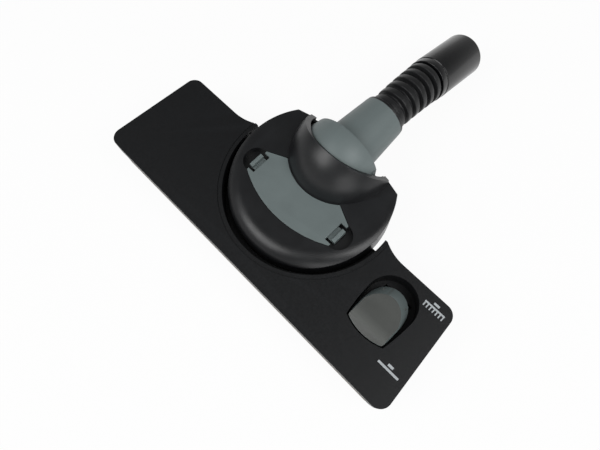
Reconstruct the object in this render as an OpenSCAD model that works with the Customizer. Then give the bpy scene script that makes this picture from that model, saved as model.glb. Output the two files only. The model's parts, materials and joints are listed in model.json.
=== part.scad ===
// Vacuum floor nozzle: a wide plate with a turning round head, a ball neck, a ribbed cuff and a tube.
// The origin is the middle of the sole on the floor. +X runs to the pedal end, +Y to the tube, +Z up.

/* [Plate] */
// Length of the plate along its front edge
plate_length = 290; // [260:1:340]
// Length of the plate along its rear edge
plate_rear_length = 274; // [250:1:320]
// Depth of the plate from the front edge to the rear edge
plate_depth = 84.2; // [80:0.2:96]
// Height of the plate's top above the floor
plate_height = 36; // [34:0.5:42]
// Thickness of the plate's top skin
plate_skin = 2.2; // [1.6:0.1:3]
// Wall of the moulded shells
wall = 2; // [1.6:0.1:2.4]
// Radius of the plate's corners in plan
corner_radius = 8.5; // [5:0.5:12]
// Height of the side wall below the plate's top
cover_side = 12; // [9:0.5:14]
// How far the two horns reach behind the plate
horn_reach = 5; // [3:0.1:9]
// Width of a horn's blunt tip
horn_tip = 2.1; // [1.5:0.1:4]
// Radius of the flare from the rear edge into a horn
horn_flare = 39; // [25:1:60]

/* [Round head] */
// Distance from the plate's middle back to the swivel axis
swivel_y = 39.5; // [38:0.1:42]
// Radius of the round head
head_radius = 63; // [60:0.5:66]
// Open gap between the head and the plate's lip
head_gap = 4.7; // [3:0.1:6]
// Height of the head's top above the plate's top
head_rise = 7; // [5:0.5:10]
// Radius that rolls the head's top over into its rim
head_round = 14; // [8:0.5:17]
// Distance from the swivel axis back to the centre of that rolled edge
head_round_back = 8; // [6:0.5:10]
// Angle of the head's rear corners behind the swivel axis
head_corner_angle = 36; // [33:0.5:38]
// Slant of the head's straight rear edges
head_rear_slant = 14.5; // [8:0.5:22]
// Height of the shelf that the head turns over
shelf_height = 18; // [17:0.5:20]
// How far the head turns to each side
swivel_range = 25; // [15:1:25]

/* [Hood and neck] */
// Distance from the swivel axis back to the tilt axis
tilt_back = 30.5; // [29:0.5:33]
// Height of the tilt axis above the floor
tilt_height = 42; // [41:0.5:46]
// Radius of the neck's ball
ball_radius = 31; // [29:0.5:31.5]
// Width of the ball between its side flats
ball_width = 57.5; // [53.5:0.5:58.5]
// Distance from the tilt axis back to the ball's rear face
ball_rear = 7; // [5:0.5:10]
// Space between the ball and the hood
hood_gap = 1.2; // [0.8:0.1:2]
// Wall of the hood
hood_wall = 4.2; // [2:0.1:5]
// Radius of the hood's dome
hood_radius = 41.5; // [41:0.1:43]
// Distance from the swivel axis back to the dome's centre
hood_back = 33.3; // [32:0.1:34]
// How far the dome's centre lies below the tilt axis
hood_sink = 7.5; // [6:0.5:9]
// Slant of the hood's open edge
hood_edge_angle = 46.8; // [40:0.2:52]
// Distance from the tilt axis to the plane of the hood's open edge
hood_edge_offset = 9.2; // [8:0.2:13]
// Radius of the neck tube where it leaves the ball
neck_root_radius = 21.5; // [19:0.5:22]
// Radius of the neck tube at its end
neck_end_radius = 18.3; // [17:0.1:19]
// Length from the tilt axis to the end of the neck
neck_length = 46.8; // [42:0.2:60]
// Wall of the neck
neck_wall = 2.4; // [2:0.1:3]
// Radius of the neck's two trunnions
trunnion_radius = 4; // [3:0.5:5]
// Length of the neck ring's spigot inside the neck
spigot_length = 6; // [4:0.5:9]

/* [Cuff and tube] */
// Length of the ribbed cuff
cuff_length = 52; // [46:1:70]
// Angle by which the cuff lets the tube hang
cuff_droop = 16.5; // [8:0.5:18]
// Number of rings on the cuff
cuff_rings = 6; // [4:1:8]
// Width of one ring
ring_width = 4; // [3:0.2:5]
// Radius of the ring next to the neck
ring_radius_first = 15.6; // [15:0.1:17]
// Radius of the ring next to the tube
ring_radius_last = 16.9; // [15:0.1:18]
// Outer radius of the cuff's sleeve between the rings
sleeve_radius = 13.8; // [13:0.1:14.5]
// Bore radius of the cuff's sleeve
sleeve_bore = 11.6; // [10:0.1:12]
// Outer radius of the connector tube
tube_radius = 17.75; // [17.5:0.05:19]
// Bore radius of the connector tube
tube_bore = 16; // [15.5:0.05:16.5]
// Length of the connector tube
tube_length = 55; // [45:1:90]
// Depth of the connector tube's bore
tube_bore_depth = 50; // [35:1:54]

/* [Lid] */
// Radius of the lid's front edge
lid_arc = 89.5; // [85:0.5:110]
// Distance from the swivel axis forward to the lid's front edge
lid_front = 36.8; // [34:0.2:38]
// Distance from the middle to each finger pocket
pocket_x = 42.5; // [38:0.1:43]
// Distance from the swivel axis forward to the finger pockets
pocket_forward = 15.6; // [14:0.2:17]
// Radius of the finger pockets at the lid's ends
pocket_radius = 10.4; // [8:0.2:11]
// Depth of the finger pockets
pocket_depth = 6.4; // [4:0.2:8]
// Thickness of the lid
lid_thickness = 2.4; // [2:0.1:3]
// Space around the lid in its opening
lid_gap = 0.35; // [0.3:0.05:0.6]
// Slant of the lid's rear edges beside the hood
lid_rear_slant = 25; // [18:0.2:28]
// Length of a latch notch
notch_length = 16.8; // [12:0.5:17]
// Depth of a latch notch
notch_depth = 5.4; // [4:0.2:7]
// Length of a latch tab
tab_length = 11.6; // [8:0.2:13]
// Width of a latch tab
tab_width = 3; // [2:0.1:3.6]

/* [Pedal] */
// Distance from the plate's middle to the middle of the pedal
pedal_x = 100.2; // [97:0.1:103]
// Half the width of the pedal
pedal_half_width = 16; // [15:0.1:17]
// Distance from the pivot forward to the middle of the pedal's front edge
pedal_front = 13.2; // [10:0.2:14]
// Distance from the pivot back to the foot of the pedal's rear skirt
pedal_rear = 27.1; // [26:0.1:29]
// Distance from the pivot back to the rear edge of the pedal's top
pedal_top_rear = 18.4; // [17:0.1:22]
// Height of the pedal's crest above the plate's top
pedal_crest = 2.4; // [1.5:0.1:4]
// Height of the pedal's rear edge above the plate's top
pedal_rise = 4.2; // [3:0.1:5]
// Distance from the plate's top down to the pedal's pivot
pedal_pivot_drop = 12; // [11:0.1:12.5]
// How far the pedal tips back
pedal_angle = 16; // [12:0.5:16]
// Radius of the pedal's pivot pin
pedal_pin_radius = 2; // [1.5:0.1:2.2]
// Distance from the pivot to the cam pin that works the brushes
cam_arm = 22; // [20:0.1:22.5]
// Radius of the cam pin
cam_pin_radius = 1.5; // [1.2:0.1:1.8]
// Half the width of the pedal well at its widest
well_half_width = 19.3; // [18.6:0.1:20]
// Distance from the pivot back to the rear of the pedal well
well_rear = 35.6; // [33:0.1:37]
// Distance from the pedal's pivot down to the well's floor
well_drop = 4.4; // [4:0.1:5]

/* [Sole and brushes] */
// Thickness of the sole plate
sole_sheet = 1.2; // [0.8:0.1:1.5]
// How far each end of the suction mouth stops short of the front brush's end
mouth_margin = 13; // [11:0.5:33]
// Depth of the suction mouth
mouth_depth = 15; // [12:0.5:16]
// Distance from the plate's middle forward to the middle of the mouth
mouth_forward = 14.5; // [13:0.1:15]
// How far each end of the front brush stops short of the plate's rear corner
brush_margin = 14; // [13:0.5:37]
// Width of the bristle row
bristle_width = 3; // [2:0.1:3.5]
// Distance from the plate's middle forward to the front brush
front_brush_y = 34; // [33.8:0.1:34.4]
// Distance from the plate's middle back to the rear brushes
rear_brush_y = 9; // [8.5:0.1:9.5]
// Spacing of the bristle tufts
tuft_pitch = 4; // [3:0.5:8]
// Height of the raised bristle tips above the floor
tuft_rest_height = 0.8; // [0.4:0.1:1.1]
// Height of the raised brush carrier's underside above the floor
carrier_height = 9.6; // [9.4:0.1:9.8]
// Thickness of the brush carrier
carrier_thickness = 4; // [3:0.1:4.2]
// Width of the lint strips
lint_width = 4.6; // [3:0.1:5]
// Radius of the wheels
wheel_radius = 5.8; // [5:0.1:6]
// Width of the wheels
wheel_width = 6; // [4:0.1:6]
// Distance from the middle to each wheel
wheel_x = 35.8; // [35:0.1:36]
// Distance from the swivel axis back to the wheel axles
wheel_back = 31; // [30.6:0.1:31.4]
// Radius of the wheel axles
axle_radius = 1.5; // [1:0.1:2]
// Radius of the screws
screw_radius = 1.5; // [1.2:0.1:1.7]
// Length of the screws that hold the cover
cover_screw_length = 18; // [12:0.5:22]
// Length of the screws that hold the swivel ring
ring_screw_length = 4.8; // [4:0.1:4.9]
// Height of the front bumper strip
bumper_height = 16; // [10:0.5:17]

/* [Fits] */
// Clearance between parts that move past each other
move_gap = 0.4; // [0.3:0.05:0.6]
// Clearance between parts that sit together
seat_gap = 0.1; // [0.05:0.05:0.2]
// Radial clearance of a turning pin in its hole
run_gap = 0.08; // [0.04:0.01:0.1]

/* [Hidden] */
$fn = 96;
black = "#202123";
gloss_black = "#141518";
cool_grey = "#69706f";
pedal_grey = "#5c6161";
steel = "#b4b6b8";
taupe = "#77736a";
rubber_black = "#17181a";
felt_red = "#7c2a2c";
big = 400;
half_depth = plate_depth / 2;
lip_radius = head_radius + head_gap;
head_top = plate_height + head_rise;
tray_bottom = shelf_height + 1.5;
tray_floor = 1.8;
shelf_thickness = 1.6;
skin_bottom = plate_height - plate_skin;
cover_bottom = plate_height - cover_side;
housing_inset = 1;
housing_floor = 1.8;
housing_floor_top = sole_sheet + housing_floor;
duct_top = shelf_height - shelf_thickness;
rib_top = min(duct_top, plate_height - pedal_pivot_drop - well_drop - shelf_thickness - move_gap);
end_lean = atan2((plate_length - plate_rear_length) / 2, plate_depth);
chamber_radius = 30;
drum_radius = chamber_radius - 0.3;
drum_wall = 1.8;
drum_bottom = 4.2;
tongue_radius = 33.5;
tongue_top = 7.4;
passage_half = 33;
tilt_y = swivel_y + tilt_back;
hood_inner = ball_radius + hood_gap;
dome_y = swivel_y + hood_back;
dome_z = tilt_height - hood_sink;
hood_base = sqrt(pow(hood_radius, 2) - pow(head_top - dome_z, 2));
tower_inner = ball_width / 2 + move_gap;
tower_outer = tower_inner + 3;
tower_round = trunnion_radius + 2.4;
apron_angle = swivel_range + 5;
apron_floor = 8;
lid_centre_y = swivel_y - lid_front + lid_arc;
lid_end = pocket_x + 0.3;
lid_seat = head_top - lid_thickness;
lid_ledge = 2;
pedal_pivot_height = plate_height - pedal_pivot_drop;
well_floor = pedal_pivot_height - well_drop;
cam_half = pedal_angle / 2;
cam_y = cam_arm * cos(cam_half);
cam_z = pedal_pivot_height + cam_arm * sin(cam_half);
brush_travel = 2 * cam_arm * sin(cam_half);
pedal_underside = pedal_pivot_height + 4;
cheek_inner = 8.6;
cheek_outer = 10.6;
ear_inner = cheek_outer + move_gap;
ear_outer = ear_inner + 2.2;
eye_wall = 0.8;
eye_half = cheek_inner - move_gap - 1.8;
eye_rear = cam_y + 0.25 + cam_pin_radius + run_gap + eye_wall;
eye_top = cam_z + cam_pin_radius + run_gap + eye_wall;
brush_length = min(plate_length, plate_rear_length) - 2 * brush_margin;
mouth_length = brush_length - 2 * mouth_margin;
carrier_top = carrier_height + carrier_thickness;
carrier_half = brush_length / 2 + 4;
bar_half = 3;
guide_radius = 2;
bumper_low = 6;
bumper_half = mouth_length / 2 + 26;
bumper_end = 6;
boss_radius = 3;
boss_joint = 8;
screw_places = [[min(plate_length, plate_rear_length) / 2 - 4.7, 0], [75, 31.5],
    [70, bar_half + boss_radius + 0.7 - front_brush_y]];
seal_inner = chamber_radius + 2;
seal_outer = seal_inner + 3;
ring_screw_radius = 26.5;
cuff_turn_radius = cuff_length / (cuff_droop * PI / 180);
cuff_start = tilt_y + neck_length;

// Points of an arc about a centre, from one angle to another
function arc(centre, r, a0, a1, steps = 12) =
    [for (i = [0:steps]) centre + r * [cos(a0 + (a1 - a0) * i / steps), sin(a0 + (a1 - a0) * i / steps)]];

// Right-hand corner centres of the plate, at the front (end = -1) and at the rear (end = 1)
function corner_x(end) =
    ((plate_length + plate_rear_length) / 4 * cos(end_lean) - corner_radius
    - end * (half_depth - corner_radius) * sin(end_lean)) / cos(end_lean);

function right_side(inset) = concat(
    arc([corner_x(-1), corner_radius - half_depth], corner_radius - inset, -90, end_lean),
    arc([corner_x(1), half_depth - corner_radius], corner_radius - inset, end_lean, 90));

function mirrored(points) = [for (i = [len(points) - 1:-1:0]) [-points[i][0], points[i][1]]];

module plate_plan(inset = 0) {
    points = right_side(inset);
    polygon(concat(points, mirrored(points)));
}

module horn_plan() {
    tip_y = half_depth + horn_reach;
    tip_x = sqrt(pow(lip_radius, 2) - pow(tip_y - swivel_y, 2)) + horn_tip;
    flare_x = tip_x + sqrt(pow(horn_flare, 2) - pow(horn_flare - horn_reach, 2));
    difference() {
        polygon([[tip_x - 14, half_depth - 5], [flare_x, half_depth - 5], [flare_x, half_depth],
            [tip_x, tip_y], [tip_x - 14, tip_y]]);
        translate([flare_x, half_depth + horn_flare]) circle(horn_flare);
    }
}

module both_sides() {
    children();
    mirror([1, 0, 0]) children();
}

module slab(low, high) {
    translate([0, 0, low]) linear_extrude(high - low) children();
}

module box(low, high) {
    translate(low) cube(high - low);
}

module on_swivel() {
    translate([0, swivel_y, 0]) children();
}

module on_ball() {
    translate([0, tilt_y, tilt_height]) children();
}

module on_dome() {
    translate([0, dome_y, dome_z]) children();
}

// Area behind the head's two slanted rear edges, about the swivel axis
module behind_head(inset) {
    corner = head_radius * [cos(head_corner_angle), sin(head_corner_angle)];
    both_sides() {
        translate(corner) rotate(-head_rear_slant) translate([-big / 2, -inset]) square([big, big]);
    }
}

module head_plan(inset = 0) {
    difference() {
        circle(head_radius - inset);
        behind_head(inset);
    }
}

// Solid of the head's upper shell from a low edge up, drawn inward by an inset. Its top edge is rolled over
// most at the front and hardly at all at the rear corners.
module head_form(inset, low) {
    roll_radius = head_radius + head_round_back + 0.4;
    difference() {
        intersection() {
            screw_hole(low, big, head_radius - inset);
            translate([0, head_round_back, 0]) {
                rotate_extrude() {
                    difference() {
                        translate([0, low - 1]) square([roll_radius - inset, head_top - inset - low + 1]);
                        translate([roll_radius - head_round, head_top - head_round]) {
                            difference() {
                                square(big);
                                circle(head_round - inset);
                            }
                        }
                    }
                }
            }
        }
        slab(0, big) behind_head(inset);
    }
}

// Outline of the lid's opening between the two pockets, drawn outward by a margin
module lid_plan(margin = 0) {
    difference() {
        intersection() {
            translate([0, lid_centre_y]) circle(lid_arc + margin);
            square([2 * (lid_end + margin), big], center = true);
        }
        translate([0, dome_y]) circle(hood_base + 0.5 - margin);
        both_sides() {
            at_pocket() {
                rotate(-lid_rear_slant) translate([-big / 2, pocket_radius - 0.8 + margin]) square(big);
            }
        }
    }
}

// Places a child at the right-hand pocket
module at_pocket() {
    translate([pocket_x, swivel_y - pocket_forward, 0]) children();
}

// Outline of the pedal well, drawn inward by an inset
module well_plan(inset = 0) {
    round_y = well_rear - well_half_width;
    side_radius = 140;
    front_radius = 40;
    translate([pedal_x, 0]) {
        intersection() {
            translate([well_half_width - side_radius, round_y]) circle(side_radius - inset);
            translate([side_radius - well_half_width, round_y]) circle(side_radius - inset);
            union() {
                intersection() {
                    translate([0, front_radius - pedal_front - 1]) circle(front_radius - inset);
                    translate([-big / 2, round_y - big]) square(big);
                }
                translate([0, round_y]) circle(well_half_width - inset);
            }
        }
    }
}

module pedal_outline(rear, narrow = 0) {
    half = pedal_half_width - narrow;
    front_radius = 40;
    translate([pedal_x, 0]) {
        intersection() {
            translate([0, front_radius - pedal_front + narrow]) circle(front_radius);
            union() {
                translate([-half, -pedal_front]) square([2 * half, pedal_front + rear - half]);
                translate([0, rear - half]) circle(half);
            }
        }
    }
}

// Solid of the pedal: its outline under a crested top, with a leaning rear skirt and slightly leaning sides
module pedal_form() {
    crest = plate_height + pedal_crest;
    rise = plate_height + pedal_rise;
    half = pedal_half_width;
    intersection() {
        slab(pedal_underside, big) pedal_outline(pedal_rear);
        rotate([90, 0, 90]) {
            linear_extrude(big) {
                polygon([[-pedal_front - 1, 0], [-pedal_front - 1, plate_height - 0.4],
                    [-pedal_front + 7, crest], [pedal_top_rear, rise], [big, rise], [big, 0]]);
            }
        }
        translate([pedal_x, big / 2, 0]) {
            rotate([90, 0, 0]) {
                linear_extrude(big) {
                    polygon([[-half, 0], [half, 0], [half, plate_height - 1], [half - 1.4, rise + 1],
                        [1.4 - half, rise + 1], [-half, plate_height - 1]]);
                }
            }
        }
        translate([pedal_x, pedal_top_rear - 1.4142 * half, rise]) {
            rotate([45, 0, 0]) cylinder(r = half + 0.3, h = big, center = true);
        }
    }
}

module screw(length, head_radius_mm = 3) {
    cylinder(r = screw_radius, h = length);
    cylinder(r1 = head_radius_mm, r2 = screw_radius, h = head_radius_mm - screw_radius);
}

module screw_hole(low, high, r) {
    translate([0, 0, low]) cylinder(r = r, h = high - low);
}

module each_screw_place() {
    for (place = screw_places) {
        for (side = [-1, 1]) {
            translate([side * place[0], place[1], 0]) children();
        }
    }
}

module top_cover() {
    rib_pitch = 26;
    color(black) {
        difference() {
            union() {
                difference() {
                    slab(cover_bottom, plate_height) {
                        plate_plan();
                        both_sides() horn_plan();
                    }
                    slab(cover_bottom - 1, skin_bottom) plate_plan(wall);
                }
                slab(shelf_height, plate_height - 1) {
                    intersection() {
                        translate([0, swivel_y]) circle(lip_radius + wall);
                        plate_plan(wall + 2.2);
                    }
                }
                slab(well_floor - shelf_thickness, plate_height - 1) well_plan(-1.6);
                for (i = [-5:5]) {
                    box([i * rib_pitch - 0.7, -half_depth + 1, skin_bottom - 5.4],
                        [i * rib_pitch + 0.7, half_depth - 1, skin_bottom + 1]);
                }
                each_screw_place() screw_hole(boss_joint, skin_bottom + 1, boss_radius);
            }
            on_swivel() translate([0, 0, -1]) cylinder(r = lip_radius, h = big);
            on_swivel() {
                translate([0, 0, plate_height - 0.5]) {
                    rotate_extrude() translate([lip_radius + 2.8, 0]) square([0.7, 1]);
                }
            }
            slab(well_floor, big) well_plan();
            box([pedal_x - cheek_outer - 1.6, cam_y - 15, 0], [pedal_x + cheek_outer + 1.6, cam_y + 6, big]);
            each_screw_place() screw_hole(0, skin_bottom - 4, screw_radius + seat_gap);
        }
        pedal_ears();
    }
}

// The two ears that carry the pedal's pivot pin
module pedal_ears() {
    for (side = [-1, 1]) {
        difference() {
            union() {
                box([pedal_x + side * (ear_inner + ear_outer) / 2 - 1.1, -4, well_floor - 1],
                    [pedal_x + side * (ear_inner + ear_outer) / 2 + 1.1, 4, pedal_pivot_height]);
                translate([pedal_x + side * (ear_inner + ear_outer) / 2 - 1.1, 0, pedal_pivot_height]) {
                    rotate([0, 90, 0]) cylinder(r = 4, h = ear_outer - ear_inner);
                }
            }
            translate([pedal_x - big / 2, 0, pedal_pivot_height]) {
                rotate([0, 90, 0]) cylinder(r = pedal_pin_radius, h = big);
            }
        }
    }
}

module base_housing() {
    mouth_front = -mouth_forward - mouth_depth / 2;
    mouth_rear = -mouth_forward + mouth_depth / 2;
    duct_end = mouth_length / 2 + 3;
    color(black) {
        difference() {
            union() {
                slab(sole_sheet, cover_bottom) {
                    difference() {
                        plate_plan(housing_inset);
                        plate_plan(housing_inset + wall);
                    }
                }
                slab(cover_bottom - 2, cover_bottom + 4) {
                    difference() {
                        plate_plan(wall + 0.3);
                        plate_plan(wall + 1.9);
                    }
                }
                slab(sole_sheet, housing_floor_top) plate_plan(housing_inset);
                box([-plate_length / 2 + 12, -half_depth + housing_inset, sole_sheet],
                    [plate_length / 2 - 12, -front_brush_y - bar_half - move_gap, cover_bottom]);
                slab(duct_top, shelf_height) {
                    intersection() {
                        translate([0, swivel_y]) circle(lip_radius + wall);
                        plate_plan(housing_inset + 1);
                    }
                }
                box([-duct_end, mouth_front - 1.6, sole_sheet], [duct_end, mouth_rear + 1.6, shelf_height]);
                box([-passage_half - 1.6, mouth_rear, sole_sheet],
                    [passage_half + 1.6, swivel_y, shelf_height]);
                on_swivel() screw_hole(sole_sheet, tongue_top, tongue_radius);
                intersection() {
                    on_swivel() screw_hole(sole_sheet, shelf_height, tongue_radius);
                    slab(0, big) plate_plan(housing_inset);
                }
                for (i = [1:4]) {
                    for (side = [-1, 1]) {
                        box([side * (i * 25 + 12.5) - 0.7, rear_brush_y + 8, sole_sheet],
                            [side * (i * 25 + 12.5) + 0.7, half_depth - 1.6, rib_top]);
                    }
                }
                each_screw_place() screw_hole(sole_sheet, boss_joint, boss_radius + 0.3);
                for (side = [-1, 1]) {
                    translate([side * (carrier_half - bar_half), -mouth_forward, 0]) {
                        screw_hole(sole_sheet, carrier_top + 3, guide_radius);
                    }
                }
            }
            housing_cuts(mouth_front, mouth_rear);
        }
    }
}

module housing_cuts(mouth_front, mouth_rear) {
    slot = bar_half;
    box([-mouth_length / 2, mouth_front, -1], [mouth_length / 2, mouth_rear, duct_top]);
    box([-passage_half, mouth_rear - 1, housing_floor_top], [passage_half, mouth_rear + 8, duct_top]);
    box([-passage_half + 6, mouth_rear - 1, housing_floor_top], [passage_half - 6, swivel_y - 12, duct_top]);
    on_swivel() {
        screw_hole(-1, big, chamber_radius);
        screw_hole(-1, drum_bottom + 0.3, chamber_radius + 1.6);
    }
    on_swivel() screw_hole(shelf_height, big, lip_radius);
    box([-brush_length / 2 - 1, -front_brush_y - slot, -1], [brush_length / 2 + 1, -front_brush_y + slot, 5]);
    both_sides() {
        box([passage_half + 2, rear_brush_y - slot, -1], [brush_length / 2 + 1, rear_brush_y + slot, 5]);
    }
    box([-bumper_half, -half_depth, bumper_low],
        [bumper_half, -half_depth + housing_inset + 2, bumper_low + bumper_height]);
    box([pedal_x - 8, rear_brush_y + 3, housing_floor_top], [pedal_x + 8, rear_brush_y + 19, duct_top + 1]);
    each_screw_place() screw_hole(0, big, screw_radius + seat_gap);
    each_screw_place() {
        translate([0, 0, sole_sheet - 0.9]) cylinder(r1 = 3.1, r2 = screw_radius, h = 3.1 - screw_radius);
    }
}

module sole_plate() {
    mouth_front = -mouth_forward - mouth_depth / 2;
    mouth_rear = -mouth_forward + mouth_depth / 2;
    color(steel) {
        difference() {
            union() {
                slab(0, sole_sheet) plate_plan(housing_inset + 0.8);
                on_swivel() cylinder(r = tongue_radius, h = sole_sheet);
            }
            box([-mouth_length / 2, mouth_front, -1], [mouth_length / 2, mouth_rear, big]);
            box([-brush_length / 2 - 1, -front_brush_y - bar_half, -1],
                [brush_length / 2 + 1, -front_brush_y + bar_half, big]);
            both_sides() {
                box([passage_half + 2, rear_brush_y - bar_half, -1],
                    [brush_length / 2 + 1, rear_brush_y + bar_half, big]);
            }
            lint_slot(-1);
            lint_slot(1);
            each_screw_place() {
                translate([0, 0, 0.2]) cylinder(r1 = 3.1, r2 = screw_radius, h = 3.1 - screw_radius);
                translate([0, 0, -1]) cylinder(r = 3.1, h = 1.2);
            }
        }
    }
}

// Slot in the sole for a lint strip in front of (-1) or behind (1) the mouth
module lint_slot(end) {
    slab(-1, sole_sheet + 1) lint_plan(end, 0);
}

module lint_plan(end, inset) {
    middle = -mouth_forward + end * (mouth_depth / 2 + 1.6 + lint_width / 2);
    translate([0, middle]) {
        square([2 * (screw_places[2][0] - 6) - 2 * inset, lint_width - 2 * inset], center = true);
    }
}

module lint_strip(end) {
    color(felt_red) slab(0.3, sole_sheet) lint_plan(end, seat_gap);
}

module lint_strip_front() {
    lint_strip(-1);
}

module lint_strip_rear() {
    lint_strip(1);
}

module front_bumper() {
    low = bumper_low + seat_gap;
    high = bumper_low + bumper_height - seat_gap;
    back = -half_depth + housing_inset + 2 - seat_gap;
    half = bumper_half - seat_gap;
    color(taupe) {
        difference() {
            box([-half, -half_depth + 0.5, low], [half, back, high]);
            both_sides() {
                translate([half, back - 1.2, 0]) {
                    rotate(20) box([-bumper_end, -bumper_end, 0], [bumper_end, 0, big]);
                }
            }
        }
    }
}

module cover_screws() {
    color(steel) {
        each_screw_place() translate([0, 0, sole_sheet - 0.9]) screw(cover_screw_length);
    }
}

module pedal_pin() {
    color(steel) {
        translate([pedal_x - ear_outer, 0, pedal_pivot_height]) {
            rotate([0, 90, 0]) cylinder(r = pedal_pin_radius, h = 2 * ear_outer);
        }
    }
}

// A wound spring on the pivot pin, drawn as its coils' outline, with one leg on the well's floor
module pedal_spring() {
    coils = 6;
    wire = 0.9;
    inner = pedal_pin_radius + 0.3;
    length = coils * wire * 1.1;
    profile = concat([[inner, 0]], [for (i = [0:6 * coils]) [inner + wire * (0.72 + 0.28 * abs(sin(30 * i))),
        length * i / (6 * coils)]], [[inner, length]]);
    color(steel) {
        translate([pedal_x - length / 2, 0, pedal_pivot_height]) {
            rotate([0, 90, 0]) rotate_extrude() polygon(profile);
        }
        translate([pedal_x - length / 2 + wire / 2, -1, well_floor + wire / 2]) {
            rotate([90, 0, 0]) cylinder(r = wire / 2, h = 7);
        }
        translate([pedal_x - length / 2 + wire / 2, -inner - wire * 0.6, well_floor + wire / 2]) {
            cylinder(r = wire / 2, h = pedal_pivot_height - well_floor);
        }
    }
}

module brush_carrier() {
    front = -front_brush_y;
    rear = rear_brush_y;
    color(black) {
        difference() {
            union() {
                box([-carrier_half, front - bar_half, carrier_height],
                    [carrier_half, front + bar_half, carrier_top]);
                both_sides() {
                    box([carrier_half - 2 * bar_half, front, carrier_height],
                        [carrier_half, rear + bar_half, carrier_top]);
                    box([passage_half + 2 + move_gap, rear - bar_half + 0.2, carrier_height],
                        [carrier_half, rear + bar_half - 0.2, carrier_top]);
                    translate([carrier_half - bar_half, -mouth_forward, 0]) {
                        screw_hole(carrier_height, carrier_top, guide_radius + 2);
                    }
                }
                box([pedal_x - 7, rear, carrier_height], [pedal_x + 7, cam_y + 2.4, carrier_top]);
            }
            both_sides() {
                translate([carrier_half - bar_half, -mouth_forward, 0]) {
                    screw_hole(0, big, guide_radius + run_gap);
                }
            }
            box([-brush_length / 2, front - 1.6, carrier_height - 1],
                [brush_length / 2, front + 1.6, carrier_height + 1.5]);
            both_sides() {
                box([passage_half + 4, rear - 1.6, carrier_height - 1],
                    [brush_length / 2, rear + 1.6, carrier_height + 1.5]);
            }
        }
    }
}

// A bristle strip from one X to another: a backing that seats in the carrier and its tufts
module brush(x0, x1, y) {
    count = floor((x1 - x0 - 4) / tuft_pitch);
    start = (x0 + x1 - count * tuft_pitch) / 2;
    color(rubber_black) {
        box([x0 + seat_gap, y - 1.6 + seat_gap, carrier_height],
            [x1 - seat_gap, y + 1.6 - seat_gap, carrier_height + 1.5]);
        for (i = [0:count]) {
            translate([start + i * tuft_pitch, y, 0]) {
                screw_hole(tuft_rest_height, carrier_height + 0.5, bristle_width / 2 - 0.2);
            }
        }
    }
}

module front_brush() {
    brush(-brush_length / 2, brush_length / 2, -front_brush_y);
}

module rear_brush_left() {
    brush(-brush_length / 2, -passage_half - 4, rear_brush_y);
}

module rear_brush_right() {
    brush(passage_half + 4, brush_length / 2, rear_brush_y);
}

// The post that stands on the brush carrier and is worked by the pedal's cam pin
module lifter() {
    color(black) {
        difference() {
            union() {
                box([pedal_x - 7, rear_brush_y - 2, carrier_top],
                    [pedal_x + 7, cam_y + 2.4, carrier_top + 1.8]);
                box([pedal_x - eye_half, cam_y - 2.4 - cam_pin_radius, carrier_top],
                    [pedal_x + eye_half, eye_rear, eye_top]);
            }
            for (end = [-0.05, 0.25]) {
                translate([pedal_x - big / 2, cam_y + end, cam_z]) {
                    rotate([0, 90, 0]) cylinder(r = cam_pin_radius + run_gap, h = big);
                }
            }
            box([pedal_x - big / 2, cam_y - 0.05, cam_z - cam_pin_radius - run_gap],
                [pedal_x + big / 2, cam_y + 0.25, cam_z + cam_pin_radius + run_gap]);
            box([pedal_x - 4, cam_y - 5, carrier_top + 4], [pedal_x + 4, cam_y + 5, cam_z - 4]);
        }
    }
}

module pedal() {
    color(pedal_grey) {
        difference() {
            union() {
                difference() {
                    pedal_form();
                    slab(pedal_underside - 1, plate_height - 4.4) pedal_outline(pedal_rear - 2, 2);
                    slab(pedal_underside - 1, plate_height - 2.4) pedal_outline(pedal_rear - 7, 2.5);
                    box([pedal_x - eye_half - move_gap, cam_y - 6, pedal_underside - 1],
                        [pedal_x + eye_half + move_gap, eye_rear + move_gap, eye_top + 1.2]);
                }
                for (side = [-1, 1]) {
                    cheek(pedal_x + side * (cheek_inner + cheek_outer) / 2 - 1);
                }
            }
            translate([pedal_x - big / 2, 0, pedal_pivot_height]) {
                rotate([0, 90, 0]) cylinder(r = pedal_pin_radius + run_gap, h = big);
            }
            translate([pedal_x - cheek_outer - 1, cam_y, cam_z]) {
                rotate([0, 90, 0]) cylinder(r = cam_pin_radius, h = 2 * cheek_outer + 2);
            }
        }
    }
}

// One of the two plates under the pedal that hold the pivot pin and the cam pin
module cheek(x) {
    translate([x, 0, 0]) {
        rotate([90, 0, 90]) {
            linear_extrude(cheek_outer - cheek_inner) {
                translate([0, pedal_pivot_height]) circle(3.6);
                translate([cam_y, cam_z]) circle(2.8);
                polygon([[-3.6, pedal_pivot_height], [0, pedal_pivot_height - 3.6], [cam_y, cam_z - 2.8],
                    [cam_y - 1, plate_height - 1.6], [-3.6, plate_height - 1.6]]);
            }
        }
    }
}

module cam_pin() {
    color(steel) {
        translate([pedal_x - cheek_outer, cam_y, cam_z]) {
            rotate([0, 90, 0]) cylinder(r = cam_pin_radius, h = 2 * cheek_outer);
        }
    }
}

// The part of a dome of a given radius above a height, up to the slanted plane of the hood's open edge
module dome(radius, low) {
    difference() {
        intersection() {
            on_dome() sphere(radius);
            box([-big / 2, -big / 2, low], [big / 2, big / 2, big]);
        }
        on_ball() {
            rotate([-hood_edge_angle, 0, 0]) {
                translate([-big / 2, -big / 2, hood_edge_offset]) cube(big);
            }
        }
    }
}

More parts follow.
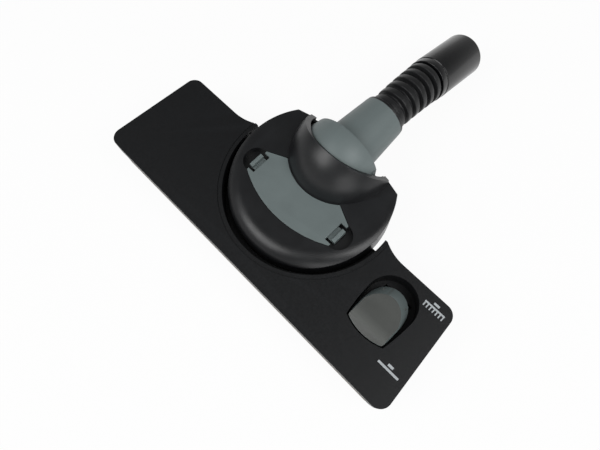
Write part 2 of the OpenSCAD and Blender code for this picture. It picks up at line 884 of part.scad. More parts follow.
module head_cover() {
    skin = 2.2;
    color(black) {
        difference() {
            union() {
                on_swivel() {
                    difference() {
                        head_form(0, tray_bottom + tray_floor);
                        head_form(skin, 1);
                    }
                }
                intersection() {
                    dome(hood_radius, head_top - 1);
                    on_swivel() slab(0, big) head_plan();
                }
                slab(lid_seat - lid_ledge, head_top - 0.5) lid_plan(1.8);
                both_sides() {
                    at_pocket() {
                        screw_hole(head_top - pocket_depth - 1.6, head_top - 0.5, pocket_radius + 1.6);
                    }
                }
            }
            on_ball() sphere(hood_inner);
            intersection() {
                on_dome() sphere(hood_radius - hood_wall);
                box([-big / 2, -big / 2, head_top - skin - 0.8], [big / 2, big / 2, big]);
            }
            box([-tower_outer - 0.6, tilt_y - tower_round - 1, 0], [tower_outer + 0.6, big, head_top - 2.4]);
            box([-tower_inner, tilt_y + ball_rear, 0], [tower_inner, big, big]);
            slab(lid_seat, big) lid_plan();
            slab(0, big) {
                difference() {
                    lid_plan(-lid_ledge);
                    both_sides() at_pocket() circle(pocket_radius + 1.6);
                }
            }
            both_sides() at_pocket() screw_hole(head_top - pocket_depth, big, pocket_radius);
        }
    }
}

// Outline of the head's low rear part, which stays clear of the plate when the head turns
module apron_plan(inset) {
    intersection() {
        head_plan(inset);
        polygon([[0, inset], [big * cos(apron_angle), big * sin(apron_angle) + inset], [0, big],
            [-big * cos(apron_angle), big * sin(apron_angle) + inset]]);
    }
}

module head_base() {
    color(black) {
        difference() {
            union() {
                on_swivel() {
                    difference() {
                        slab(tray_bottom, tray_bottom + tray_floor) head_plan();
                        screw_hole(0, big, drum_radius - drum_wall);
                    }
                    difference() {
                        slab(apron_floor - 2, tray_bottom + 0.5) apron_plan(0);
                        slab(apron_floor + 1.6, tray_bottom + 0.5) apron_plan(wall);
                        slab(0, apron_floor) apron_plan(wall);
                        screw_hole(0, apron_floor, tongue_radius + 0.6);
                        screw_hole(0, big, drum_radius - drum_wall);
                    }
                    drum();
                    both_sides() wheel_box();
                }
            }
            on_ball() sphere(hood_inner);
            box([-tower_inner, tilt_y + ball_rear, tray_bottom - 2], [tower_inner, big, big]);
            on_swivel() both_sides() wheel_well();
        }
        both_sides() tower();
    }
}

// The round wall that turns in the housing's chamber, open at the front for the air
module drum() {
    difference() {
        screw_hole(drum_bottom, tray_bottom + 0.5, drum_radius);
        screw_hole(0, big, 24.4);
        screw_hole(drum_bottom + 3, big, drum_radius - drum_wall);
        box([-26, -big, drum_bottom + 3], [26, -6, duct_top]);
        for (a = [30, 150, 270]) {
            rotate(a) translate([ring_screw_radius, 0]) screw_hole(0, drum_bottom + 2.6, 1.1);
        }
    }
}

module wheel_box() {
    half = wheel_width / 2 + 2.2;
    box([wheel_x - half, wheel_back - wheel_radius - 2.2, apron_floor - 2],
        [wheel_x + half, wheel_back + wheel_radius + 2.2, tray_bottom + 0.5]);
}

module wheel_well() {
    half = wheel_width / 2 + 0.6;
    box([wheel_x - half, wheel_back - wheel_radius - 0.7, -1],
        [wheel_x + half, wheel_back + wheel_radius + 0.7, wheel_radius * 2 + 1]);
    translate([wheel_x - big / 2, wheel_back, wheel_radius]) {
        rotate([0, 90, 0]) {
            translate([0, 0, big / 2 - half - 1.7]) cylinder(r = axle_radius, h = 2 * half + 3.4);
        }
    }
}

// A bearing plate beside the ball, for one trunnion
module tower() {
    difference() {
        union() {
            box([tower_inner, tilt_y - tower_round, apron_floor + 0.8],
                [tower_outer, tilt_y + tower_round, tilt_height]);
            translate([tower_inner, tilt_y, tilt_height]) {
                rotate([0, 90, 0]) cylinder(r = tower_round, h = tower_outer - tower_inner);
            }
        }
        translate([0, tilt_y, tilt_height]) {
            rotate([0, 90, 0]) cylinder(r = trunnion_radius + run_gap, h = big);
        }
    }
}

module swivel_ring() {
    color(cool_grey) {
        on_swivel() {
            difference() {
                screw_hole(drum_bottom - 1.8, drum_bottom, chamber_radius + 1.6 - move_gap);
                screw_hole(0, big, 24.4);
                for (a = [30, 150, 270]) {
                    rotate(a) translate([ring_screw_radius, 0]) screw_hole(0, big, 1.3);
                }
            }
        }
    }
}

module swivel_seal() {
    color(rubber_black) {
        on_swivel() {
            difference() {
                screw_hole(shelf_height + 0.3, tray_bottom, seal_outer);
                screw_hole(0, big, seal_inner);
                box([-big / 2, -4, 0], [big / 2, big, big]);
            }
        }
    }
}

module ring_screws() {
    color(steel) {
        on_swivel() {
            for (a = [30, 150, 270]) {
                rotate(a) translate([ring_screw_radius, 0, drum_bottom - 2.4]) {
                    cylinder(r = 1, h = ring_screw_length);
                    cylinder(r = 2, h = 0.6);
                }
            }
        }
    }
}

module wheel_axle(side) {
    half = wheel_width / 2 + 2.2;
    color(steel) {
        translate([side * wheel_x - half, swivel_y + wheel_back, wheel_radius]) {
            rotate([0, 90, 0]) cylinder(r = axle_radius, h = 2 * half);
        }
    }
}

module wheel_axle_left() {
    wheel_axle(-1);
}

module wheel_axle_right() {
    wheel_axle(1);
}

// A small roller with rounded shoulders
module wheel(side) {
    edge = 1.2;
    bore = axle_radius + run_gap;
    profile = concat([[bore, 0]], arc([wheel_radius - edge, edge], edge, -90, 0, 5),
        arc([wheel_radius - edge, wheel_width - edge], edge, 0, 90, 5), [[bore, wheel_width]]);
    color(rubber_black) {
        translate([side * wheel_x - wheel_width / 2, swivel_y + wheel_back, wheel_radius]) {
            rotate([0, 90, 0]) rotate_extrude() polygon(profile);
        }
    }
}

module wheel_left() {
    wheel(-1);
}

module wheel_right() {
    wheel(1);
}

module lid() {
    color(cool_grey) {
        difference() {
            slab(lid_seat, head_top) lid_plan(-lid_gap);
            both_sides() {
                at_pocket() {
                    translate([-notch_depth, -notch_length / 2, 0]) {
                        cube([notch_depth + 1, notch_length, big]);
                    }
                }
            }
        }
        slab(lid_seat - 4, lid_seat + 0.5) {
            intersection() {
                difference() {
                    lid_plan(-lid_ledge - lid_gap);
                    lid_plan(-lid_ledge - lid_gap - 1.6);
                }
                square([2 * 24, big], center = true);
            }
        }
        both_sides() {
            at_pocket() {
                translate([-tab_width / 2, -tab_length / 2, lid_seat - 2.2]) {
                    cube([tab_width, tab_length, lid_thickness + 2.6]);
                }
                translate([-notch_depth - 2, -tab_length / 2, lid_seat - 2.2]) {
                    cube([notch_depth + 2, tab_length, 1.6]);
                }
                translate([-notch_depth - 2, -tab_length / 2, lid_seat - 2.2]) {
                    cube([1.6, tab_length, 2.6]);
                }
            }
        }
    }
}

// The ball and its tapered tube, one moulding with a trunnion at each side
module neck() {
    bore_end = neck_end_radius - neck_wall;
    bore_root = neck_root_radius - neck_wall;
    color(cool_grey) {
        on_ball() {
            difference() {
                union() {
                    intersection() {
                        sphere(ball_radius);
                        box([-ball_width / 2, -big / 2, -big / 2], [ball_width / 2, ball_rear, big / 2]);
                    }
                    translate([0, ball_rear - 1, 0]) {
                        rotate([-90, 0, 0]) {
                            cylinder(r1 = neck_root_radius, r2 = neck_end_radius,
                                h = neck_length - ball_rear + 1);
                        }
                    }
                }
                intersection() {
                    sphere(ball_radius - neck_wall);
                    box([neck_wall - ball_width / 2, -big / 2, -big / 2],
                        [ball_width / 2 - neck_wall, ball_rear - neck_wall, big / 2]);
                }
                translate([0, ball_rear - neck_wall - 1, 0]) {
                    rotate([-90, 0, 0]) {
                        cylinder(r1 = bore_root, r2 = bore_end, h = neck_length - ball_rear + neck_wall + 1);
                    }
                }
                translate([0, neck_length - 1, 0]) rotate([-90, 0, 0]) cylinder(r = bore_end, h = 2);
                translate([0, -ball_radius - 1, 0]) rotate([-90, 0, 0]) cylinder(r = 16.5, h = ball_radius);
            }
            for (side = [0, 180]) {
                rotate([0, 0, side]) {
                    translate([ball_width / 2 - 1, 0, 0]) {
                        rotate([0, 90, 0]) {
                            cylinder(r = trunnion_radius, h = tower_outer - ball_width / 2 + 0.8);
                        }
                    }
                }
            }
        }
    }
}

module neck_ring() {
    color(gloss_black) {
        translate([0, cuff_start, tilt_height]) {
            rotate([-90, 0, 0]) {
                difference() {
                    union() {
                        cylinder(r = neck_end_radius - 0.3, h = 2.2);
                        translate([0, 0, -spigot_length]) {
                            cylinder(r = neck_end_radius - neck_wall - seat_gap, h = spigot_length + 1);
                        }
                    }
                    translate([0, 0, -spigot_length - 1]) cylinder(r = sleeve_radius + seat_gap, h = big);
                }
            }
        }
    }
}

// Turns and moves a child to a distance along the cuff, with +Z of the child along the cuff
module on_cuff(distance) {
    angle = cuff_droop * distance / cuff_length;
    drop = cuff_turn_radius * (1 - cos(angle));
    translate([0, cuff_start + cuff_turn_radius * sin(angle), tilt_height - drop]) {
        rotate([-90 - angle, 0, 0]) children();
    }
}

// A round bar of a given radius that follows the cuff's curve from one distance to another
module cuff_bar(r, from, to) {
    turn = cuff_droop / cuff_length;
    translate([0, cuff_start, tilt_height - cuff_turn_radius]) {
        rotate([0, -90, 0]) {
            rotate(from * turn) {
                rotate_extrude(angle = (to - from) * turn) translate([cuff_turn_radius, 0]) circle(r);
            }
        }
    }
}

module cuff() {
    pitch = (cuff_length - 6 - ring_width) / (cuff_rings - 1);
    color(rubber_black) {
        difference() {
            union() {
                cuff_bar(sleeve_radius, -5, cuff_length - seat_gap);
                for (i = [0:cuff_rings - 1]) {
                    growth = (ring_radius_last - ring_radius_first) / (cuff_rings - 1);
                    radius = ring_radius_first + growth * i;
                    cuff_bar(radius, 3.4 + i * pitch, 3.4 + i * pitch + ring_width);
                }
            }
            cuff_bar(sleeve_bore, -8, cuff_length + 3);
        }
    }
}

module connector_tube() {
    edge = 1;
    profile = concat([[sleeve_bore, 0]], arc([tube_radius - 1.6 * edge, 1.6 * edge], 1.6 * edge, -90, 0, 5),
        arc([tube_radius - edge * 0.6, tube_length - edge * 0.6], edge * 0.6, 0, 90, 4),
        [[tube_bore, tube_length], [tube_bore, tube_length - tube_bore_depth],
        [sleeve_bore, tube_length - tube_bore_depth]]);
    color(gloss_black) {
        on_cuff(cuff_length) rotate_extrude() polygon(profile);
    }
}

top_cover();
base_housing();
sole_plate();
front_bumper();
lint_strip_front();
lint_strip_rear();
cover_screws();
pedal_pin();
pedal_spring();
brush_carrier();
front_brush();
rear_brush_left();
rear_brush_right();
lifter();
pedal();
cam_pin();
head_cover();
head_base();
swivel_ring();
swivel_seal();
ring_screws();
wheel_axle_left();
wheel_axle_right();
wheel_left();
wheel_right();
lid();
neck();
neck_ring();
cuff();
connector_tube();
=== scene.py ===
"""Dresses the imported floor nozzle.

It rounds the moulded edges, gives the plastics, rubber and steel their finish, builds the ribbed cuff, the
tube's collar and the bristles, prints the two signs and sets the stage."""

import json
import math
import random

import bmesh
import bpy
from mathutils import Matrix, Vector


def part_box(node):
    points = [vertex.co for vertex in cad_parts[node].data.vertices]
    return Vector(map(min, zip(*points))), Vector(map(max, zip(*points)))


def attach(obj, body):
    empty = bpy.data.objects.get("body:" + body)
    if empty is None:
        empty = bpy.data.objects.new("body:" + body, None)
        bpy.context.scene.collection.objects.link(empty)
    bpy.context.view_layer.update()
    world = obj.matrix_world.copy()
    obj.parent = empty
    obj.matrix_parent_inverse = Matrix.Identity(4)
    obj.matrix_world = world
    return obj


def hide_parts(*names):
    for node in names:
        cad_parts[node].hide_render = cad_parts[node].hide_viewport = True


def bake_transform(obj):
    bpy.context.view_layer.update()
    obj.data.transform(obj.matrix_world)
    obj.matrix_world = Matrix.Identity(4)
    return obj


bl_info = {
    "name": "Floor nozzle dresser",
    "version": (1, 0, 0),
    "blender": (4, 5, 0),
    "location": "View3D > Sidebar > Nozzle",
    "description": "Builds the visible surfaces of a vacuum floor nozzle on its CAD frame",
    "category": "Object",
}

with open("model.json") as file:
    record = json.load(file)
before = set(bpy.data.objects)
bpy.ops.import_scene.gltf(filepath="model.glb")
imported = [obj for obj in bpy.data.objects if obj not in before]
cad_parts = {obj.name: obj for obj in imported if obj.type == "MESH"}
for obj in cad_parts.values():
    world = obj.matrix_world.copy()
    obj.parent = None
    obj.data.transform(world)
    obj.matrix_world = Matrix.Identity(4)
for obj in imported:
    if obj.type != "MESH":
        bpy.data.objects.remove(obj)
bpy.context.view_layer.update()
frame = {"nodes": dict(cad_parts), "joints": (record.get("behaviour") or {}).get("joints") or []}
MM = 0.001
NODES = frame["nodes"]
JOINTS = {joint["name"]: joint for joint in frame["joints"]}

# Node trees


def shader(name, rough, metallic=0.0, specular=0.5):
    """An empty material with a Principled shader whose plain numbers sit on its own sockets."""
    material = bpy.data.materials.new(name)
    material.use_nodes = True
    tree = material.node_tree
    tree.nodes.clear()
    out = tree.nodes.new("ShaderNodeOutputMaterial")
    surface = tree.nodes.new("ShaderNodeBsdfPrincipled")
    surface.inputs["Roughness"].default_value = rough
    surface.inputs["Metallic"].default_value = metallic
    surface.inputs["Specular IOR Level"].default_value = specular
    tree.links.new(surface.outputs["BSDF"], out.inputs["Surface"])
    return material, tree, surface


def place(tree):
    """Object coordinates, which are the part's own frame in metres."""
    return tree.nodes.new("ShaderNodeTexCoord").outputs["Object"]


def noise(tree, where, size_mm, detail=2.0, rough=0.5, stretch=None):
    """Noise whose lumps are about size_mm across, drawn out along an axis where stretch says."""
    if stretch:
        mapping = tree.nodes.new("ShaderNodeMapping")
        mapping.inputs["Scale"].default_value = stretch
        tree.links.new(where, mapping.inputs["Vector"])
        where = mapping.outputs["Vector"]
    node = tree.nodes.new("ShaderNodeTexNoise")
    node.inputs["Scale"].default_value = 1.0 / (size_mm * MM)
    node.inputs["Detail"].default_value = detail
    node.inputs["Roughness"].default_value = rough
    tree.links.new(where, node.inputs["Vector"])
    return node.outputs["Fac"]


def ramp(tree, value, low, high, at=(0.3, 0.7)):
    """Maps a value to a number or a colour between two ends."""
    if isinstance(low, (int, float)):
        node = tree.nodes.new("ShaderNodeMapRange")
        node.inputs["From Min"].default_value = at[0]
        node.inputs["From Max"].default_value = at[1]
        node.inputs["To Min"].default_value = low
        node.inputs["To Max"].default_value = high
        tree.links.new(value, node.inputs["Value"])
        return node.outputs["Result"]
    node = tree.nodes.new("ShaderNodeValToRGB")
    node.color_ramp.elements[0].position = at[0]
    node.color_ramp.elements[0].color = (*low, 1.0)
    node.color_ramp.elements[1].position = at[1]
    node.color_ramp.elements[1].color = (*high, 1.0)
    tree.links.new(value, node.inputs["Fac"])
    return node.outputs["Color"]


def blend_colour(tree, factor, first, second):
    """Mixes two colours, each given as a value or a socket, by a factor."""
    node = tree.nodes.new("ShaderNodeMix")
    node.data_type = "RGBA"
    tree.links.new(factor, node.inputs[0])
    for socket, value in ((node.inputs[6], first), (node.inputs[7], second)):
        if isinstance(value, bpy.types.NodeSocket):
            tree.links.new(value, socket)
        else:
            socket.default_value = (*value, 1.0)
    return node.outputs[2]


def calculate(tree, operation, *values):
    """One sum on values or sockets."""
    node = tree.nodes.new("ShaderNodeMath")
    node.operation = operation
    for socket, value in zip(node.inputs, values):
        if isinstance(value, bpy.types.NodeSocket):
            tree.links.new(value, socket)
        else:
            socket.default_value = value
    return node.outputs[0]


def bump(tree, surface, heights):
    """Chains bumps, each given as (height socket, depth in mm, strength)."""
    normal = None
    for height, depth_mm, strength in heights:
        node = tree.nodes.new("ShaderNodeBump")
        node.inputs["Distance"].default_value = depth_mm * MM
        node.inputs["Strength"].default_value = strength
        tree.links.new(height, node.inputs["Height"])
        if normal is not None:
            tree.links.new(normal, node.inputs["Normal"])
        normal = node.outputs["Normal"]
    tree.links.new(normal, surface.inputs["Normal"])


def worn_edges(tree, strength=0.5):
    """A mask that is 1 on the outer edges, for paler wear."""
    point = tree.nodes.new("ShaderNodeNewGeometry").outputs["Pointiness"]
    return calculate(tree, "MULTIPLY", ramp(tree, point, 0.0, 1.0, (0.53, 0.62)), strength)


def shade(colour, factor):
    """A colour made darker or lighter by a factor."""
    return tuple(min(1.0, channel * factor) for channel in colour)


# Materials


def grained_plastic(name, colour, rough=0.42, grain_mm=0.4, grain_depth=0.02, speck=0.25):
    """Moulded plastic with a fine spark-eroded grain, soft dust tone and worn edges."""
    material, tree, surface = shader(name, rough, specular=0.3)
    where = place(tree)
    grain = noise(tree, where, grain_mm, 2.0, 0.6)
    coarse = noise(tree, where, grain_mm * 2.6, 1.0, 0.5)
    cloud = noise(tree, where, 38.0, 3.0, 0.6)
    base = ramp(tree, grain, shade(colour, 1.0 - speck), shade(colour, 1.0 + speck), (0.35, 0.65))
    tint = blend_colour(tree, ramp(tree, cloud, 0.0, 0.35), base, shade(colour, 1.18))
    edge = blend_colour(tree, worn_edges(tree, 0.45), tint, shade(colour, 1.7))
    tree.links.new(edge, surface.inputs["Base Color"])
    tree.links.new(ramp(tree, coarse, rough - 0.06, rough + 0.08), surface.inputs["Roughness"])
    bump(tree, surface, [(coarse, grain_depth * 1.4, 0.35), (grain, grain_depth, 0.6)])
    return material


def satin_plastic(name, colour, rough=0.36, streak_axis=(1.0, 1.0, 1.0), painted_crest_highlight=None, painted_side_light=None):
    """Smooth moulded plastic with faint flow marks, fine scratches and a paler wear on its edges.

    A painted highlight along the crest may be given as the front, the middle and the back of a band along X,
    and painted side light as a paler, cooler colour for the steeper faces, where more light falls on them."""
    material, tree, surface = shader(name, rough, specular=0.45)
    where = place(tree)
    flow = noise(tree, where, 22.0, 3.0, 0.55, streak_axis)
    fine = noise(tree, where, 0.8, 2.0, 0.6)
    scratch = noise(tree, where, 1.2, 2.0, 0.7, (0.12, 1.0, 1.0))
    base = ramp(tree, flow, shade(colour, 0.93), shade(colour, 1.07))
    # Painted highlight: the band across the pedal's crest is made paler, standing for the light on it
    if painted_crest_highlight:
        split = tree.nodes.new("ShaderNodeSeparateXYZ")
        tree.links.new(where, split.inputs[0])
        rise = ramp(tree, split.outputs["Y"], 0.0, 1.0, (painted_crest_highlight[0], painted_crest_highlight[1]))
        fall = ramp(tree, split.outputs["Y"], 1.0, 0.0, (painted_crest_highlight[1], painted_crest_highlight[2]))
        base = blend_colour(tree, calculate(tree, "MULTIPLY", rise, fall), base, shade(colour, 1.5))
    # Painted light: the steeper faces get a paler, cooler colour for the light that falls on them
    if painted_side_light:
        side_light_normal = tree.nodes.new("ShaderNodeSeparateXYZ")
        tree.links.new(tree.nodes.new("ShaderNodeTexCoord").outputs["Normal"], side_light_normal.inputs[0])
        base = blend_colour(tree, ramp(tree, side_light_normal.outputs["Z"], 1.0, 0.0, (0.84, 0.93)), base, painted_side_light)
    edge = blend_colour(tree, worn_edges(tree, 0.4), base, shade(colour, 1.3))
    tree.links.new(edge, surface.inputs["Base Color"])
    tree.links.new(ramp(tree, scratch, rough - 0.05, rough + 0.1), surface.inputs["Roughness"])
    bump(tree, surface, [(flow, 0.12, 0.12), (fine, 0.012, 0.35)])
    return material


def satin_black(name, colour, painted_shade_heights, rough=0.35):
    """The head's satin black, dustier in patches, with painted shade: darkest below the lower of the two
    heights given, fading out by the higher.
    """
    material, tree, surface = shader(name, rough, specular=0.5)
    where = place(tree)
    grain = noise(tree, where, 0.35, 2.0, 0.6)
    patch = noise(tree, where, 14.0, 3.0, 0.6)
    flow = noise(tree, where, 30.0, 2.0, 0.5, (0.6, 1.0, 1.0))
    split = tree.nodes.new("ShaderNodeSeparateXYZ")
    tree.links.new(where, split.inputs[0])
    # Painted shade: darker low on the head and in the lid's recess, fading out upwards
    depth = ramp(tree, split.outputs["Z"], 0.35, 1.0, painted_shade_heights)
    tone = ramp(tree, grain, shade(colour, 0.85), shade(colour, 1.15), (0.35, 0.65))
    dusty = blend_colour(tree, ramp(tree, patch, 0.0, 0.4), tone, shade(colour, 1.35))
    shaded_low = blend_colour(tree, depth, shade(colour, 0.3), dusty)
    edge = blend_colour(tree, worn_edges(tree, 0.35), shaded_low, shade(colour, 2.0))
    tree.links.new(edge, surface.inputs["Base Color"])
    tree.links.new(ramp(tree, patch, rough - 0.03, rough + 0.05), surface.inputs["Roughness"])
    bump(tree, surface, [(flow, 0.1, 0.1), (grain, 0.008, 0.4)])
    return material


def polished_plastic(name, colour, rough=0.18):
    """Glossy moulded plastic with slight waviness, dust and a faint coat."""
    material, tree, surface = shader(name, rough, specular=0.5)
    surface.inputs["Coat Weight"].default_value = 0.1
    surface.inputs["Coat Roughness"].default_value = 0.12
    where = place(tree)
    wave = noise(tree, where, 16.0, 2.0, 0.5)
    dust = noise(tree, where, 0.7, 3.0, 0.7)
    base = ramp(tree, dust, colour, shade(colour, 1.8), (0.55, 0.8))
    edge = blend_colour(tree, worn_edges(tree, 0.4), base, shade(colour, 3.0))
    tree.links.new(edge, surface.inputs["Base Color"])
    tree.links.new(ramp(tree, dust, rough - 0.03, rough + 0.1), surface.inputs["Roughness"])
    bump(tree, surface, [(wave, 0.1, 0.2), (dust, 0.005, 0.3)])
    return material


def soft_rubber(name, colour, rough=0.55):
    """Moulded rubber with a bloom, fine grain and worn rims."""
    material, tree, surface = shader(name, rough, specular=0.35)
    surface.inputs["Sheen Weight"].default_value = 0.05
    surface.inputs["Sheen Roughness"].default_value = 0.5
    where = place(tree)
    grain = noise(tree, where, 0.6, 3.0, 0.6)
    bloom = noise(tree, where, 12.0, 3.0, 0.6)
    base = blend_colour(tree, ramp(tree, bloom, 0.0, 0.4), shade(colour, 0.85), shade(colour, 1.35))
    edge = blend_colour(tree, worn_edges(tree, 0.6), base, shade(colour, 2.0))
    tree.links.new(edge, surface.inputs["Base Color"])
    tree.links.new(ramp(tree, grain, rough - 0.08, rough + 0.1), surface.inputs["Roughness"])
    bump(tree, surface, [(bloom, 0.08, 0.15), (grain, 0.03, 0.5)])
    return material


def brushed_metal(name, colour, rough=0.32, along=(0.04, 1.0, 1.0)):
    """Rolled steel with a grain drawn along one axis and scuffs from the floor."""
    material, tree, surface = shader(name, rough, metallic=1.0)
    where = place(tree)
    line = noise(tree, where, 0.35, 3.0, 0.7, along)
    scuff = noise(tree, where, 5.0, 4.0, 0.65)
    base = ramp(tree, line, shade(colour, 0.86), shade(colour, 1.1))
    tree.links.new(base, surface.inputs["Base Color"])
    tree.links.new(ramp(tree, scuff, rough - 0.08, rough + 0.16), surface.inputs["Roughness"])
    bump(tree, surface, [(line, 0.01, 0.5), (scuff, 0.03, 0.15)])
    return material


def short_pile(name, colour):
    """Lint felt whose short pile leans one way."""
    material, tree, surface = shader(name, 0.9, specular=0.1)
    surface.inputs["Sheen Weight"].default_value = 0.7
    surface.inputs["Sheen Roughness"].default_value = 0.35
    where = place(tree)
    pile = noise(tree, where, 0.35, 3.0, 0.7, (1.0, 0.3, 1.0))
    lay = noise(tree, where, 6.0, 2.0, 0.5)
    fibres = ramp(tree, pile, shade(colour, 0.6), shade(colour, 1.3))
    base = blend_colour(tree, ramp(tree, lay, 0.2, 0.8), fibres, shade(colour, 1.1))
    tree.links.new(base, surface.inputs["Base Color"])
    bump(tree, surface, [(pile, 0.2, 0.8)])
    return material


def printed_ink(name, colour):
    """Pad-printed ink, a little broken by the grain it sits on."""
    material, tree, surface = shader(name, 0.45, specular=0.4)
    where = place(tree)
    grain = noise(tree, where, 0.5, 2.0, 0.6)
    base = ramp(tree, grain, shade(colour, 0.72), colour, (0.32, 0.52))
    tree.links.new(base, surface.inputs["Base Color"])
    tree.links.new(ramp(tree, grain, 0.4, 0.6), surface.inputs["Roughness"])
    bump(tree, surface, [(grain, 0.02, 0.4)])
    return material


def bristle_fibre(name, colour):
    """Nylon fibre with faint streaks along its length."""
    material, tree, surface = shader(name, 0.42, specular=0.4)
    where = place(tree)
    fibre = noise(tree, where, 0.3, 2.0, 0.6, (1.0, 1.0, 0.05))
    base = ramp(tree, fibre, shade(colour, 0.6), shade(colour, 1.6))
    tree.links.new(base, surface.inputs["Base Color"])
    bump(tree, surface, [(fibre, 0.05, 0.5)])
    return material


# Mesh helpers

WELD_DISTANCE = 2e-6
FLAT_ANGLE = math.radians(0.4)
SHADING_WEIGHT = 60
SIDE_SHARE = 0.45


def new_piece(name, mesh, material, body, *stands_for, slot=None):
    """Links a mesh as a piece that rides on a body, and hides the CAD nodes that it stands for."""
    piece = bpy.data.objects.new(name, mesh)
    bpy.context.scene.collection.objects.link(piece)
    mesh.materials.clear()
    mesh.materials.append(material)
    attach(piece, body)
    if stands_for:
        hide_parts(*stands_for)
    return piece


def mesh_from(name, build, smooth_angle=35.0):
    """Runs a build function on an empty bmesh and returns the mesh with smooth faces and sharp creases."""
    form = bmesh.new()
    build(form)
    bmesh.ops.recalc_face_normals(form, faces=form.faces)
    for face in form.faces:
        face.smooth = True
    limit = math.radians(smooth_angle)
    for edge in form.edges:
        edge.smooth = not (len(edge.link_faces) == 2 and edge.calc_face_angle(0.0) > limit)
    mesh = bpy.data.meshes.new(name)
    form.to_mesh(mesh)
    form.free()
    return mesh


def moulded_copy(node, name, material, body, width_mm, segments=2, angle=30.0, slot=None):
    """A copy of a CAD node with flat faces joined up and its sharp edges rounded as a mould leaves them."""
    mesh = NODES[node].data.copy()
    form = bmesh.new()
    form.from_mesh(mesh)
    bmesh.ops.remove_doubles(form, verts=form.verts, dist=WELD_DISTANCE)
    bmesh.ops.dissolve_limit(form, angle_limit=FLAT_ANGLE, verts=form.verts, edges=form.edges)
    for face in form.faces:
        face.smooth = True
    form.to_mesh(mesh)
    form.free()
    mesh.name = name
    piece = new_piece(name, mesh, material, body, node, slot=slot)
    rounder = piece.modifiers.new("Rounded edges", "BEVEL")
    rounder.width = width_mm * MM
    rounder.segments = segments
    rounder.limit_method = "ANGLE"
    rounder.angle_limit = math.radians(angle)
    rounder.harden_normals = False
    rounder.miter_outer = "MITER_ARC"
    even = piece.modifiers.new("Even shading", "WEIGHTED_NORMAL")
    even.keep_sharp = False
    even.weight = SHADING_WEIGHT
    return piece


def finish_node(node, material):
    """Gives a CAD node that stays in view its material, in every slot."""
    mesh = NODES[node].data
    if not mesh.materials:
        mesh.materials.append(material)
    for index in range(len(mesh.materials)):
        mesh.materials[index] = material


def circle(form, to_world, radius, height, steps):
    """A ring of new vertices about the matrix's own Z axis."""
    angles = [2 * math.pi * i / steps for i in range(steps)]
    spots = [Vector((radius * math.cos(a), radius * math.sin(a), height)) for a in angles]
    return [form.verts.new(to_world @ spot) for spot in spots]


def join_rings(form, rings):
    """Faces between neighbouring rings of equal length."""
    for lower, upper in zip(rings, rings[1:]):
        count = len(lower)
        for i in range(count):
            j = (i + 1) % count
            form.faces.new((lower[i], lower[j], upper[j], upper[i]))


def rounded(points, radius, steps=4):
    """A profile whose corners between its two ends are rounded by a radius, or by what fits beside it."""
    result = [points[0]]
    for before, here, after in zip(points, points[1:], points[2:]):
        a, b, c = Vector(before), Vector(here), Vector(after)
        reach = min(radius, (a - b).length * SIDE_SHARE, (c - b).length * SIDE_SHARE)
        start = b + (a - b).normalized() * reach
        end = b + (c - b).normalized() * reach
        for i in range(steps + 1):
            t = i / steps
            result.append(tuple(start * (1 - t) ** 2 + b * 2 * t * (1 - t) + end * t ** 2))
    result.append(points[-1])
    return result


# Measures


class NozzleSizes(bpy.types.PropertyGroup):
    edge: bpy.props.FloatProperty(
        name="Shell edge", description="Rounding of the plate's edges in mm", default=0.7, min=0.1, max=2.0)
    pedal_edge: bpy.props.FloatProperty(
        name="Pedal edge", description="Rounding of the pedal's edges in mm", default=0.6, min=0.1, max=2.0)
    cuff_length: bpy.props.FloatProperty(
        name="Cuff length", description="Length of the ribbed cuff", default=0.052, unit="LENGTH")
    cuff_droop: bpy.props.FloatProperty(
        name="Cuff droop", description="How far the cuff turns down", default=math.radians(16.5),
        unit="ROTATION")
    ring_width: bpy.props.FloatProperty(
        name="Ring width", description="Width of one ring of the cuff", default=0.0048, unit="LENGTH")
    ring_count: bpy.props.IntProperty(
        name="Rings", description="Number of rings on the cuff", default=6, min=4, max=8)
    tube_length: bpy.props.FloatProperty(
        name="Tube length", description="Length of the connector tube", default=0.055, unit="LENGTH")
    sign_depth: bpy.props.FloatProperty(
        name="Ink depth", description="Height of the printed ink", default=0.0001, unit="LENGTH")


class NozzleColours(bpy.types.PropertyGroup):
    shell: bpy.props.FloatVectorProperty(
        name="Shell", description="Grained black shell", subtype="COLOR", default=(0.0055, 0.006, 0.0068))
    hood: bpy.props.FloatVectorProperty(
        name="Head", description="Satin black head and hood", subtype="COLOR",
        default=(0.005, 0.0056, 0.0066))
    grey: bpy.props.FloatVectorProperty(
        name="Neck and lid", description="Cool grey plastic", subtype="COLOR", default=(0.135, 0.165, 0.165))
    pedal: bpy.props.FloatVectorProperty(
        name="Pedal", description="Darker grey plastic", subtype="COLOR", default=(0.062, 0.066, 0.062))
    rubber: bpy.props.FloatVectorProperty(
        name="Rubber", description="Black rubber", subtype="COLOR", default=(0.0085, 0.009, 0.0098))
    tube: bpy.props.FloatVectorProperty(
        name="Tube", description="Glossy black tube", subtype="COLOR", default=(0.004, 0.0042, 0.0048))
    bumper: bpy.props.FloatVectorProperty(
        name="Bumper", description="Warm grey bumper strip", subtype="COLOR", default=(0.2, 0.17, 0.135))
    ink: bpy.props.FloatVectorProperty(
        name="Signs", description="Pale printed ink", subtype="COLOR", default=(0.45, 0.48, 0.5))
    steel: bpy.props.FloatVectorProperty(
        name="Steel", description="Sole and pins", subtype="COLOR", default=(0.56, 0.56, 0.57))
    felt: bpy.props.FloatVectorProperty(
        name="Lint strips", description="Red lint felt", subtype="COLOR", default=(0.28, 0.018, 0.022))
    bristle: bpy.props.FloatVectorProperty(
        name="Bristles", description="Black nylon", subtype="COLOR", default=(0.02, 0.02, 0.022))


def sizes():
    """The sizes set in the panel."""
    return bpy.context.scene.nozzle_sizes


def colours():
    """The colours set in the panel."""
    return bpy.context.scene.nozzle_colours


# Operators


